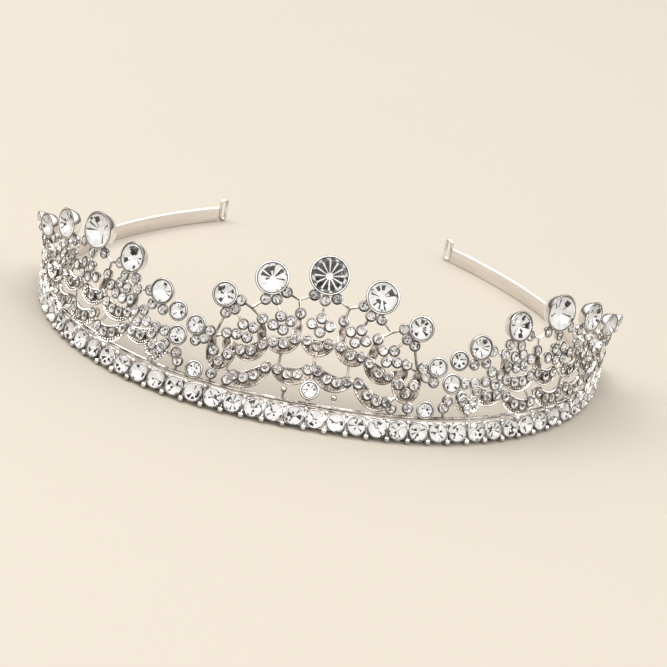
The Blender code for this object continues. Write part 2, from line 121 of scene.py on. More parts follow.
# Crescents and leaves, in mm
CRESCENT_POINTS = 17
CRESCENT_OVERHANG = 1.1             # past the centres of its end stones
CRESCENT_LOW = (0.60, 1.65)         # reach below the stones' line at the ends, and swell added in the middle
CRESCENT_HIGH = (0.55, 0.85)        # the same above it
CRESCENT_SWELL = 0.7                # power of the swell: below 1 keeps the middle full
CRESCENT_BACK, CRESCENT_FRONT = -0.7, 0.05
LOW_EDGE_RADIUS, HIGH_EDGE_RADIUS = 0.24, 0.20
GRAIN_LIFT = 0.28                   # grain beads stand this far out of the plate
GRAIN_RADIUS, INNER_GRAIN_RADIUS = 0.21, 0.23
INNER_GRAIN_SHARE = 0.17            # of the plate's width to the inner row of grain
INNER_GRAIN_LIFT = 0.6              # of the outer row's lift
PETAL_STEPS = 8
PETAL_TIP, PETAL_SWELL = 0.25, 0.85         # half width at the tips, and swell added between them
PETAL_START = 0.12
PETAL_POWER = 1.2
PETAL_BACK = -0.6
PETAL_EDGE_RADIUS = 0.20

# Proportions of a brilliant's rings, as shares of its radius or its pavilion depth
FACET_SPREAD = 0.70                 # half width of a wide facet, in steps of the ring
GIRDLE_HALF = 0.03
STAR_RISE = 0.58
MIDDLE_RING = (0.80, 0.34)
HALFWAY_RING = (0.50, 0.635)
INNER_RING = (0.20, 0.93)

# Facet tones of the foil: the dark ones are painted reflections of dark surroundings, fixed on each facet
DARK_REFLECTION_TONES = (0.0, 0.05)            # foil tone of facets painted as dark reflections, then of bright ones
BRIGHT_TONES = (0.86, 1.0)
RIM_REFLECTION_TONES = (0.02, 0.3)
RIM_SHARE = 0.7                     # rim facets painted as dark reflections for each wide facet painted so
SLIVER_TONE, SLIVER_SHARE = 0.04, 0.4
POINT_TONES = (0.95, 0.85)          # facets round the point, alternating
ALL_DARK = 0.5                      # share above which the narrow facets stay bright, to part the dark ones
# Share of facets painted as dark reflections: large stones by name, other large ones, base row and small
# stones
DARK_SHARES = {"c0": 1.0, "c1": 0.30, "c2": 0.28}
LARGE_DARK_SHARE, ROW_DARK_SHARE, SMALL_DARK_SHARE = 0.16, 0.20, 0.15
ROW_SEED, CREST_SEED = 11, 5
ROW_TILT, SMALL_TILT = 4, 7         # degrees that a stone may sit askew

# Bezel-set stones on one half: name, station mm, height mm, cup diameter mm
TOP_STONES = (
    ("c0", 0.0, 36.6, 9.5), ("c1", 14.7, 33.2, 8.0), ("c2", 25.7, 26.9, 6.2), ("c3", 30.7, 18.2, 4.9),
    ("c4", 36.4, 19.9, 4.9), ("c5", 34.6, 14.5, 4.9), ("c6", 42.4, 22.8, 6.2), ("c7", 54.4, 27.0, 7.6),
    ("c8", 68.0, 28.7, 9.2), ("c9", 79.2, 25.6, 7.6), ("c10", 89.4, 20.6, 6.2), ("c11", 99.4, 17.2, 4.9),
    ("c12", 86.4, 14.6, 4.9),
)
DROP_STONES = (("d0", 0.0, 9.4, 4.6), ("d2", 28.2, 8.1, 4.4))
# Degrees that a cup on the side crests is turned back towards the wearer's front
CUP_TURNS = {"c8": 12.0, "c9": 14.0, "c10": 26.0, "c11": 20.0}
# Three accent stones under a cup: cup, first and last direction in degrees on the unrolled strip
FANS = (
    ("c0", -120, -60), ("c1", -151, -84), ("c2", -173, -106), ("c3", -172, -100),
    ("c6", -108, -15), ("c7", -122, -34), ("c8", -130, -50), ("c9", -146, -58),
)
# Lozenges of small stones: station mm, height mm, turn in degrees
LOZENGES = (
    (0.0, 24.8, 0), (9.8, 23.5, 22), (18.5, 19.8, 32),
    (46.6, 15.2, -15), (54.8, 18.4, -6), (68.0, 18.3, 0), (79.0, 17.2, 12),
)
LOZENGE_OF_FOUR = ((0, 1.65), (2.25, 0), (0, -1.6), (-2.25, 0))
CLUSTER_OF_SIX = ((-1.35, 1.5), (3.8, -0.3), (1.25, -1.2), (1.35, 1.5), (-1.25, -1.2), (-3.8, -0.3))
WIDE_FROM = 50.0                    # mm of station past which a lozenge has six stones
Y_STONES = ((5.6, 26.6), (14.9, 23.5), (22.9, 18.3), (41.4, 14.3), (50.2, 20.6), (61.0, 20.2), (74.4, 19.6))
# Hanging crescents: first and last stone mm, sag mm, count
UPPER_SCALLOPS = (
    ((-2.7, 20.7), (2.7, 20.7), 0.9, 3), ((5.8, 20.5), (11.1, 18.9), 0.8, 3),
    ((13.5, 17.7), (18.5, 15.3), 0.8, 3), ((21.3, 13.6), (25.0, 13.6), 2.0, 3),
    ((42.0, 12.5), (47.6, 11.2), 0.7, 3), ((50.6, 14.6), (58.2, 14.4), 0.9, 4),
    ((61.0, 15.0), (66.0, 14.2), 0.9, 3), ((69.9, 14.2), (75.0, 14.6), 0.9, 3),
    ((78.0, 13.6), (83.0, 12.2), 0.9, 3), ((90.0, 15.4), (95.0, 13.6), 0.9, 3),
)
LOWER_SCALLOPS = (
    ((1.2, 14.1), (8.5, 12.8), 1.2, 4), ((11.5, 12.6), (18.7, 9.2), 1.3, 4),
    ((38.2, 10.3), (40.9, 10.2), 1.0, 2), ((50.4, 10.6), (58.2, 8.2), 1.4, 4),
    ((61.2, 10.0), (68.0, 8.6), 1.4, 4), ((71.0, 9.2), (77.6, 9.0), 1.3, 4),
    ((80.6, 9.2), (87.2, 9.6), 1.3, 4), ((90.4, 9.6), (97.0, 9.0), 1.3, 4),
)
EXTRA_STONES = (
    (19.9, 7.9), (24.0, 8.3), (33.0, 8.7), (34.0, 10.4), (38.7, 14.3), (37.7, 11.3), (39.5, 8.2),
    (84.9, 19.0), (91.5, 16.2), (96.0, 15.0), (99.4, 13.0), (102.8, 15.0),
)


# ---------------------------------------------------------------- the strip and its mapping

def interpolate(value, stations, results):
    if value <= stations[0]:
        return results[0]
    for k in range(len(stations) - 1):
        if value <= stations[k + 1]:
            share = (value - stations[k]) / (stations[k + 1] - stations[k])
            return results[k] + share * (results[k + 1] - results[k])
    return results[-1]


def trace_base_curve():
    curvatures = [1.0 / radius for radius in CURVE_RADII]
    x, y, heading = 0.0, 0.0, 0.0
    points = [(x, y, heading)]
    for k in range(int(BAND_HALF_LENGTH / CURVE_STEP) + CURVE_SPARE):
        turn = interpolate((k + 0.5) * CURVE_STEP, CURVE_STATIONS, curvatures) * CURVE_STEP
        x += math.cos(heading + turn / 2) * CURVE_STEP
        y += math.sin(heading + turn / 2) * CURVE_STEP
        heading += turn
        points.append((x, y, heading))
    return points


BASE_CURVE = trace_base_curve()
BAND_INSET = (GAP + BAND_THICKNESS / 2 - ROW_BACK) / math.cos(math.radians(LEAN_DEGREES[0]))


def base_point(station):
    side = -1.0 if station < 0 else 1.0
    position = abs(station) / CURVE_STEP
    k = min(int(position), len(BASE_CURVE) - 2)
    share = position - k
    x, y, heading = (a + share * (b - a) for a, b in zip(BASE_CURVE[k], BASE_CURVE[k + 1]))
    outward = Vector((side * math.sin(heading), -math.cos(heading), 0.0))
    return Vector((side * x, y - BAND_INSET, 0.0)), outward


def crest_frame(station, height, depth=0.0):
    point, normal = base_point(station)
    lean = math.radians(interpolate(abs(station), LEAN_STATIONS, LEAN_DEGREES))
    up = normal * math.sin(lean) + Vector((0, 0, 1)) * math.cos(lean)
    out = normal * math.cos(lean) - Vector((0, 0, 1)) * math.sin(lean)
    matrix = Matrix((up.cross(out), up, out)).transposed().to_4x4()
    matrix.translation = point + up * height + out * depth
    return matrix


def place(station, height, depth=0.0):
    return crest_frame(station, height, depth).translation


def both_sides(stones):
    placed = []
    for name, station, height, diameter in stones:
        for side, tag in ((1, "_right"), (-1, "_left")) if station else ((1, ""),):
            placed.append((name + tag, side * station * MM, height * MM, diameter * MM))
    return placed


# ---------------------------------------------------------------- materials

def node_material(name, dark, light, rough, metallic, grain, bump, stretch=(1, 1, 1), **sockets):
    """Principled material whose colour, roughness and bump come from noise of the given grain per metre."""
    material = bpy.data.materials.new(name)
    material.use_nodes = True
    nodes, links = material.node_tree.nodes, material.node_tree.links
    shader = nodes["Principled BSDF"]
    shader.inputs["Metallic"].default_value = metallic
    for socket, value in sockets.items():
        shader.inputs[socket.replace("_", " ")].default_value = value
    coords = nodes.new("ShaderNodeTexCoord")
    mapping = nodes.new("ShaderNodeMapping")
    mapping.inputs["Scale"].default_value = stretch
    links.new(coords.outputs["Object"], mapping.inputs["Vector"])

    def noise_of(scale, detail):
        texture = nodes.new("ShaderNodeTexNoise")
        texture.inputs["Scale"].default_value = scale
        texture.inputs["Detail"].default_value = detail
        links.new(mapping.outputs["Vector"], texture.inputs["Vector"])
        return texture.outputs["Fac"]

    ramp = nodes.new("ShaderNodeValToRGB")
    ramp.color_ramp.elements[0].position = 0.36
    ramp.color_ramp.elements[0].color = (*dark, 1)
    ramp.color_ramp.elements[1].position = 0.64
    ramp.color_ramp.elements[1].color = (*light, 1)
    links.new(noise_of(grain * 0.3, 3.0), ramp.inputs["Fac"])
    links.new(ramp.outputs["Color"], shader.inputs["Base Color"])
    spread = nodes.new("ShaderNodeMapRange")
    spread.inputs["From Min"].default_value = 0.3
    spread.inputs["From Max"].default_value = 0.7
    spread.inputs["To Min"].default_value = rough[0]
    spread.inputs["To Max"].default_value = rough[1]
    links.new(noise_of(grain, 4.0), spread.inputs["Value"])
    links.new(spread.outputs["Result"], shader.inputs["Roughness"])
    if bump:
        relief = nodes.new("ShaderNodeBump")
        relief.inputs["Strength"].default_value = 0.35
        relief.inputs["Distance"].default_value = bump
        links.new(noise_of(grain * 1.7, 2.0), relief.inputs["Height"])
        links.new(relief.outputs["Normal"], shader.inputs["Normal"])
    return material


POLISHED = node_material("polished_silver", (0.52, 0.50, 0.485), (0.95, 0.94, 0.93), (0.06, 0.20), 1.0,
                         900, 0.02 * MM)
CAST = node_material("cast_silver", (0.17, 0.145, 0.13), (0.68, 0.63, 0.58), (0.10, 0.26), 1.0,
                     1500, 0.05 * MM)
# Near-black metal painted where shade falls: collet seats and sides, cup seats and the band's face behind the
# row
PAINTED_SHADE_METAL = node_material("painted_shade_metal", (0.010, 0.008, 0.007), (0.045, 0.036, 0.032), (0.35, 0.55), 0.4,
                       1500, 0.02 * MM)
GRAINED = node_material("grained_silver", (0.035, 0.026, 0.022), (0.40, 0.35, 0.30), (0.16, 0.38), 1.0,
                        2600, 0.16 * MM)
SATIN = node_material("satin_band", (0.74, 0.69, 0.65), (0.83, 0.78, 0.74), (0.40, 0.52), 1.0, 500, 0.01 * MM,
                      stretch=(0.3, 0.3, 5))
CRYSTAL = node_material("clear_crystal", (0.97, 0.97, 0.98), (1.0, 1.0, 1.0), (0.0, 0.015), 0.0, 700, 0,
                        Transmission_Weight=1.0, IOR=1.40)


def make_foil():
    """Foil behind the stones: each facet's own tone runs from a painted dark reflection to bright foil."""
    material = node_material("foil_back", (0.93, 0.92, 0.93), (1.0, 1.0, 1.0), (0.05, 0.16), 0.18, 1600, 0,
                             Specular_IOR_Level=0.12)
    nodes, links = material.node_tree.nodes, material.node_tree.links
    shader = nodes["Principled BSDF"]
    bright = shader.inputs["Base Color"].links[0].from_socket
    tone = nodes.new("ShaderNodeAttribute")
    tone.attribute_name = "tone"
    mix = nodes.new("ShaderNodeMix")
    mix.data_type = "RGBA"
    colours = [socket for socket in mix.inputs if socket.type == "RGBA"]
    # dark end of the foil tone: painted dark reflection
    colours[0].default_value = (0.022, 0.017, 0.016, 1)
    factor = [socket for socket in mix.inputs if socket.type == "VALUE"][0]
    links.new(tone.outputs["Fac"], factor)
    links.new(bright, colours[1])
    links.new([socket for socket in mix.outputs if socket.type == "RGBA"][0], shader.inputs["Base Color"])
    return material


FOIL = make_foil()


# ---------------------------------------------------------------- mesh helpers

def orient(faces):
    """Turns the faces of one closed solid outwards."""
    volume = 0.0
    for face in faces:
        face.normal_update()
        volume += face.calc_center_median().dot(face.normal) * face.calc_area()
    if volume < 0:
        for face in faces:
            face.normal_flip()


def loft(bm, rings, closed=False, material=0, smooth=True):
    """Solid through rings of points, capped at both ends unless closed."""
    layers = [[bm.verts.new(point) for point in ring] for ring in rings]
    faces = []
    pairs = list(zip(layers, layers[1:])) + ([(layers[-1], layers[0])] if closed else [])
    for a, b in pairs:
        for i in range(len(a)):
            j = (i + 1) % len(a)
            faces.append(bm.faces.new((a[i], a[j], b[j], b[i])))
    if not closed:
        faces.append(bm.faces.new(layers[0][::-1]))
        faces.append(bm.faces.new(layers[-1]))
    for face in faces:
        face.smooth = smooth
        face.material_index = material
    orient(faces)


def lathe(bm, matrix, profile, sides, dark=()):
    """Solid turned round Z from (radius, z) points between two axis points; dark lists segments painted dark
    as shade.
    """
    rings = []
    for radius, z in profile:
        count = sides if radius > 0 else 1
        rings.append([bm.verts.new(matrix @ Vector((radius * math.cos(math.tau * i / sides),
                                                    radius * math.sin(math.tau * i / sides), z)))
                      for i in range(count)])
    faces = []
    for k, (a, b) in enumerate(zip(rings, rings[1:])):
        for i in range(sides):
            j = (i + 1) % sides
            corners = []
            for vert in (a[i % len(a)], a[j % len(a)], b[j % len(b)], b[i % len(b)]):
                if vert not in corners:
                    corners.append(vert)
            face = bm.faces.new(corners)
            face.smooth = True
            face.material_index = 1 if k in dark else 0
            faces.append(face)
    orient(faces)


def tube(bm, points, radii, sides=10, closed=False, material=0):
    """Round wire through points, with one radius for all or one for each."""
    if not isinstance(radii, (list, tuple)):
        radii = [radii] * len(points)
    count = len(points)
    tangents = []
    for k in range(count):
        before = points[k - 1] if closed or k > 0 else points[0]
        after = points[(k + 1) % count] if closed or k < count - 1 else points[-1]
        tangents.append((after - before).normalized())
    across = tangents[0].orthogonal().normalized()
    rings = []
    for point, tangent, radius in zip(points, tangents, radii):
        across = (across - tangent * across.dot(tangent)).normalized()
        other = tangent.cross(across)
        rings.append([point + (across * math.cos(math.tau * i / sides)
                               + other * math.sin(math.tau * i / sides)) * radius for i in range(sides)])
    loft(bm, rings, closed=closed, material=material)


def ball(bm, centre, radius, detail=2):
    result = bmesh.ops.create_icosphere(bm, subdivisions=detail, radius=radius,
                                        matrix=Matrix.Translation(centre))
    for face in {face for vert in result["verts"] for face in vert.link_faces}:
        face.smooth = True


def brilliant(bm, matrix, radius, crown, pavilion, dice, dark, table=0.62, mains=12):
    """Closed round brilliant, girdle at z 0: clear crown, material 0, over foil-backed facets, material 1.

    dark is the share of the wide facets whose foil is painted as a dark reflection; rim facets have a little
    less."""
    layer = bm.faces.layers.float.get("tone") or bm.faces.layers.float.new("tone")
    count = 2 * mains

    def ring(share, z, turn, number=count, uneven=False):
        points = []
        for i in range(number):
            place_on = i + turn
            if uneven:
                place_on = 2 * (i // 2) + (FACET_SPREAD if i % 2 else -FACET_SPREAD) + turn
            angle = place_on * math.tau / number
            points.append(bm.verts.new(matrix @ Vector((radius * share * math.cos(angle),
                                                        radius * share * math.sin(angle), z))))
        return points

    thick = GIRDLE_HALF * radius
    tables = ring(table, crown, 0, mains)
    stars = ring(table + (1 - table) * 0.5, crown * STAR_RISE, 0.5, mains)
    upper = ring(1.0, thick, 0)
    lower = ring(1.0, -thick, 0)
    middle, halfway, inner = [ring(share, -pavilion * sunk, 0, uneven=True)
                              for share, sunk in (MIDDLE_RING, HALFWAY_RING, INNER_RING)]
    tip = bm.verts.new(matrix @ Vector((0, 0, -pavilion)))
    faces = [(tables, 0, 1.0)]
    for i in range(mains):
        j, before = (i + 1) % mains, (i - 1) % mains
        k, m, n = 2 * i, 2 * i + 1, (2 * i + 2) % count
        faces += [((tables[i], tables[j], stars[i]), 0, 1),
                  ((tables[i], stars[before], upper[k], stars[i]), 0, 1),
                  ((stars[i], upper[k], upper[m]), 0, 1), ((stars[i], upper[m], upper[n]), 0, 1),
                  ((upper[k], upper[m], lower[m], lower[k]), 0, 1),
                  ((upper[m], upper[n], lower[n], lower[m]), 0, 1)]
        # wide facets: a dark tone is a painted reflection, the rest bright foil
        outside, inside = [dice.uniform(*DARK_REFLECTION_TONES) if dice.random() < dark else dice.uniform(*BRIGHT_TONES)
                           for _ in range(2)]
        sliver = 1.0 if dark > ALL_DARK else (SLIVER_TONE if dice.random() < SLIVER_SHARE else 1.0)
        edge = [dice.uniform(*RIM_REFLECTION_TONES) if dice.random() < RIM_SHARE * dark else 1.0 for _ in range(3)]
        faces += [((middle[k], middle[m], halfway[m], halfway[k]), 1, outside),
                  ((halfway[k], halfway[m], inner[m], inner[k]), 1, inside),
                  ((middle[m], middle[n], halfway[n], halfway[m]), 1, sliver),
                  ((halfway[m], halfway[n], inner[n], inner[m]), 1, sliver),
                  ((inner[k], inner[m], tip), 1, POINT_TONES[0]),
                  ((inner[m], inner[n], tip), 1, POINT_TONES[1]),
                  ((lower[k], middle[k], middle[m]), 1, edge[0]),
                  ((lower[k], lower[m], middle[m]), 1, edge[1]),
                  ((lower[m], middle[m], middle[n]), 1, edge[2]), ((lower[m], lower[n], middle[n]), 1, 1.0)]
    made = []
    for corners, material, tone in faces:
        face = bm.faces.new(corners)
        face.material_index = material
        face[layer] = tone
        made.append(face)
    bmesh.ops.recalc_face_normals(bm, faces=made)
    orient(made)


def make_piece(name, bm, materials, slot, *nodes, sharp=None):
    mesh = bpy.data.meshes.new(name)
    bm.to_mesh(mesh)
    bm.free()
    for material in materials:
        mesh.materials.append(material)
    if sharp:
        mesh.set_sharp_from_angle(angle=math.radians(sharp))
    obj = bpy.data.objects.new(name, mesh)
    bpy.context.scene.collection.objects.link(obj)
    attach(obj, "root")
    if nodes:
        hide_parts(*nodes)
    return obj


# ---------------------------------------------------------------- headband, end loops and base row

HEAD_CENTRE_Y = 0.055
ROW_END_Y = base_point(ROW_COUNT * ROW_PITCH)[0].y      # the strip's outer face is painted dark as shade up to here


def make_headband():
    """Satin strip with rounded edges, bent along the base curve; behind the base row its outer face is
    painted dark as shade.
    """
    bm = bmesh.new()
    outline = []
    for across, up, first in ((1, 1, 0), (-1, 1, 90), (-1, -1, 180), (1, -1, 270)):
        for k in range(4):
            angle = math.radians(first + 30 * k)
            outline.append((across * (BAND_THICKNESS / 2 - BAND_EDGE) + BAND_EDGE * math.cos(angle),
                            BAND_HEIGHT / 2 + up * (BAND_HEIGHT / 2 - BAND_EDGE)
                            + BAND_EDGE * math.sin(angle)))
    rings = []
    for k in range(BAND_STEPS + 1):
        station = (2 * k / BAND_STEPS - 1) * BAND_HALF_LENGTH
        point, normal = base_point(station)
        lean = math.radians(interpolate(abs(station), LEAN_STATIONS, LEAN_DEGREES))
        ring = []
        for across, height in outline:
            depth = ROW_BACK - GAP - BAND_THICKNESS / 2 + across
            spot = point + normal * (depth / math.cos(lean) + height * math.tan(lean))
            ring.append(Vector((spot.x, spot.y, height)))
        rings.append(ring)
    loft(bm, rings)
    for face in bm.faces:
        middle = face.calc_center_median()
        outward = Vector((middle.x, middle.y - HEAD_CENTRE_Y, 0)).normalized()
        # behind the row the top face takes the cast silver and the outer face is painted dark as shade
        if middle.y < ROW_END_Y and face.normal.z > 0.3:
            face.material_index = 2
        elif middle.y < ROW_END_Y and face.normal.dot(outward) > 0.6:
            face.material_index = 1
    return make_piece("headband_strip", bm, [SATIN, PAINTED_SHADE_METAL, CAST], "band_silver", "headband", sharp=50)


def make_end_hoop(tag, side):
    matrix = crest_frame(side * (BAND_HALF_LENGTH + LOOP_WIDTH / 2 + GAP), LOOP_HEIGHT / 2,
                         ROW_BACK - GAP - BAND_THICKNESS / 2)
    half_width = LOOP_WIDTH / 2 - LOOP_WIRE
    rise = LOOP_HEIGHT / 2 - LOOP_WIRE - half_width
    points = []
    for start, lift in ((0.0, rise), (math.pi, -rise)):
        for k in range(LOOP_BEND_STEPS + 1):
            turn = start + k * math.pi / LOOP_BEND_STEPS
            points.append(matrix @ Vector((half_width * math.cos(turn),
                                           lift + half_width * math.sin(turn), 0)))
    bm = bmesh.new()
    tube(bm, points, LOOP_WIRE, LOOP_SIDES, closed=True)
    return make_piece("end_hoop" + tag, bm, [POLISHED], "band_silver", "end_loop" + tag)


def skew(dice, most):
    """Slight random tilt of a stone in its collet, at most so many degrees about X and Y."""
    return Matrix.Rotation(math.radians(dice.uniform(-most, most)), 4, "X") @ Matrix.Rotation(
        math.radians(dice.uniform(-most, most)), 4, "Y")


def make_base_row():
    """Chain of round collets with prongs between them, a ball bead under each joint, and their stones."""
    metal, stones, beads = bmesh.new(), bmesh.new(), bmesh.new()
    dice = random.Random(ROW_SEED)
    for k in range(-ROW_COUNT, ROW_COUNT):
        station = (k + 0.5) * ROW_PITCH
        matrix = crest_frame(station, ROW_HEIGHT, 0)
        lathe(metal, matrix, [(r * MM, z * MM) for r, z in ROW_COLLET], 36, dark=ROW_COLLET_DARK)
        turn = Matrix.Rotation(dice.uniform(0, math.pi / 4), 4, "Z")
        tilt = skew(dice, ROW_TILT)
        brilliant(stones, matrix @ Matrix.Translation((0, 0, 0.72 * MM)) @ tilt @ turn, 2.08 * MM,
                  0.40 * MM, 1.0 * MM, dice, ROW_DARK_SHARE, mains=8)
    for k in range(-ROW_COUNT + 1, ROW_COUNT):
        station = k * ROW_PITCH
        tube(metal, [place(station, h * MM, 0.0) for h in PRONG_HEIGHTS], PRONG_RADIUS, 8)
        for height, depth, radius in ROW_BEADS:
            ball(beads, place(station, height * MM, depth * MM), radius * MM)
        tube(metal, [place(station - ROW_PITCH / 2, ROW_HEIGHT, ROW_WIRE_DEPTH),
                     place(station + ROW_PITCH / 2, ROW_HEIGHT, ROW_WIRE_DEPTH)], ROW_WIRE_RADIUS, 8)
    make_piece("row_collets", metal, [POLISHED, PAINTED_SHADE_METAL], "cast_silver", "base_row", sharp=40)
    make_piece("row_stones", stones, [CRYSTAL, FOIL], "crystal")
    make_piece("row_beads", beads, [POLISHED], "cast_silver")


# ---------------------------------------------------------------- the crest

def fan_spots(fan):
    name, first, last = fan
    station, height, diameter = next(stone[1:] for stone in TOP_STONES if stone[0] == name)
    reach = diameter / 2 + FAN_CLEARANCE
    angles = [math.radians(first + k * (last - first) / 2) for k in range(3)]
    return [(station + reach * math.cos(a), height + reach * math.sin(a)) for a in angles]


def scallop_spots(scallop, count=None, start=0.0, end=1.0):
    (x0, y0), (x1, y1), sag, own = scallop
    count = count or own
    spots = []
    for k in range(count):
        t = start + (end - start) * k / (count - 1)
        spots.append((x0 + t * (x1 - x0), y0 + t * (y1 - y0) - 4 * sag * t * (1 - t)))
    return spots


def lozenge_spots(lozenge):
    station, height, turn = lozenge
    angle = math.radians(-turn)
    spots = []
    for x, y in LOZENGE_OF_FOUR if station < WIDE_FROM else CLUSTER_OF_SIX:
        spots.append((station + x * math.cos(angle) - y * math.sin(angle),
                      height + x * math.sin(angle) + y * math.cos(angle)))
    return spots


def nearest(spot, spots):
    return min(spots, key=lambda other: math.dist(spot, other))


def crest_plan():
    """Stones, wires, crescents and beads of the +X half, in mm on the strip."""
    fans = [fan_spots(fan) for fan in FANS]
    uppers = [scallop_spots(s) for s in UPPER_SCALLOPS]
    lowers = [scallop_spots(s) for s in LOWER_SCALLOPS]
    rail = RAIL_HEIGHT / MM
    upper_chain = [spot for group in uppers for spot in group]
    lower_chain = [spot for group in lowers for spot in group]
    fan_chain = [spot for group in fans for spot in group]
    wires, beads = [], []
    for lozenge in LOZENGES:
        spots = lozenge_spots(lozenge)
        wires.append([spots[0], nearest(spots[0], fan_chain)])
        wires.append([spots[2], nearest(spots[2], upper_chain)])
    for left, right in zip(fans, fans[1:]):
        if right[0][0] - left[-1][0] < FORK_REACH:
            low = ((left[-1][0] + right[0][0]) / 2, min(left[-1][1], right[0][1]) - FORK_DROP)
            wires += [[left[-1], low], [low, right[0]], [low, nearest(low, Y_STONES)]]
    petals = [(nearest((spot[0], spot[1] - HANG_REACH), upper_chain), spot) for spot in Y_STONES]
    for chain in (uppers, lowers):
        for left, right in zip(chain, chain[1:]):
            if math.dist(left[-1], right[0]) < CHAIN_REACH:
                wires.append([left[-1], right[0]])
    for k, spot in enumerate(EXTRA_STONES):
        wires.append([spot, nearest(spot, upper_chain + lower_chain + fan_chain + list(EXTRA_STONES[:k]))])
        if spot[1] - rail < RAIL_REACH:
            wires.append([spot, (spot[0], rail)])
    for group in lowers:
        middle = group[len(group) // 2]
        wires.append([middle, (middle[0], rail)])
        wires.append([group[-1], nearest(group[-1], upper_chain)])
        if middle[1] - rail > BEAD_ROOM:
            beads.append((middle[0], (middle[1] + rail) / 2 - BEAD_DROP))
    stones = list(Y_STONES) + list(EXTRA_STONES) + upper_chain + lower_chain + fan_chain
    for lozenge in LOZENGES:
        stones += lozenge_spots(lozenge)
    return stones, wires, UPPER_SCALLOPS + LOWER_SCALLOPS, beads, petals


def crescent(bm, scallop, side):
    """Hanging crescent: a plate, widest in the middle, with a wire and two rows of grain along each edge."""
    (x0, y0), (x1, y1) = scallop[0], scallop[1]
    over = CRESCENT_OVERHANG / math.dist((x0, y0), (x1, y1))
    spine = scallop_spots(scallop, CRESCENT_POINTS, -over, 1 + over)
    plate, low_edge, high_edge = [], [], []
    for k, (s, h) in enumerate(spine):
        s0, h0 = spine[max(k - 1, 0)]
        s1, h1 = spine[min(k + 1, len(spine) - 1)]
        length = math.dist((s0, h0), (s1, h1))
        down = ((h1 - h0) / length, -(s1 - s0) / length)
        swell = math.sin(math.pi * k / (len(spine) - 1)) ** CRESCENT_SWELL
        low = CRESCENT_LOW[0] + CRESCENT_LOW[1] * swell
        high = -(CRESCENT_HIGH[0] + CRESCENT_HIGH[1] * swell)

        def spot(u, depth):
            return place(side * (s + down[0] * u) * MM, (h + down[1] * u) * MM, depth * MM)

        plate.append([spot(low, CRESCENT_BACK), spot(low, CRESCENT_FRONT),
                      spot(high, CRESCENT_FRONT), spot(high, CRESCENT_BACK)])
        low_edge.append(spot(low, 0.0))
        high_edge.append(spot(high, 0.0))
    loft(bm, plate, material=2, smooth=False)
    tube(bm, low_edge, LOW_EDGE_RADIUS * MM, 8)
    tube(bm, high_edge, HIGH_EDGE_RADIUS * MM, 8)
    middle = side * spine[CRESCENT_POINTS // 2][0] * MM
    lift = place(middle, 0, GRAIN_LIFT * MM) - place(middle, 0, 0)
    for edge, other in ((low_edge, high_edge), (high_edge, low_edge)):
        for k in range(2, len(edge) - 3):
            centre, far = (edge[k] + edge[k + 1]) / 2, (other[k] + other[k + 1]) / 2
            ball(bm, centre + lift, GRAIN_RADIUS * MM, 1)
            ball(bm, centre + (far - centre) * INNER_GRAIN_SHARE + lift * INNER_GRAIN_LIFT,
                 INNER_GRAIN_RADIUS * MM, 1)


def petal(bm, foot, tip, side):
    """Grained leaf from a cusp between two crescents up to the stone above it, outlined by two wires."""
    length = math.dist(foot, tip)
    along = ((tip[0] - foot[0]) / length, (tip[1] - foot[1]) / length)
    across = (along[1], -along[0])
    plate, left, right = [], [], []
    for k in range(PETAL_STEPS + 1):
        t = k / PETAL_STEPS
        bulge = math.sin(math.pi * min(1.0, PETAL_START + (1 - PETAL_START) * t))
        width = PETAL_TIP + PETAL_SWELL * bulge ** PETAL_POWER
        s, h = foot[0] + along[0] * length * t, foot[1] + along[1] * length * t

        def spot(u, depth):
            return place(side * (s + across[0] * u) * MM, (h + across[1] * u) * MM, depth * MM)

        plate.append([spot(-width, PETAL_BACK), spot(width, PETAL_BACK), spot(width, 0.0), spot(-width, 0.0)])
        left.append(spot(-width, 0.0))
        right.append(spot(width, 0.0))
    loft(bm, plate, material=2, smooth=False)
    tube(bm, left, PETAL_EDGE_RADIUS * MM, 8)
    tube(bm, right, PETAL_EDGE_RADIUS * MM, 8)


def node_of(station):
    if abs(station) * MM <= SPLIT_STATION:
        return "crest_main"
    return "crest_right" if station > 0 else "crest_left"


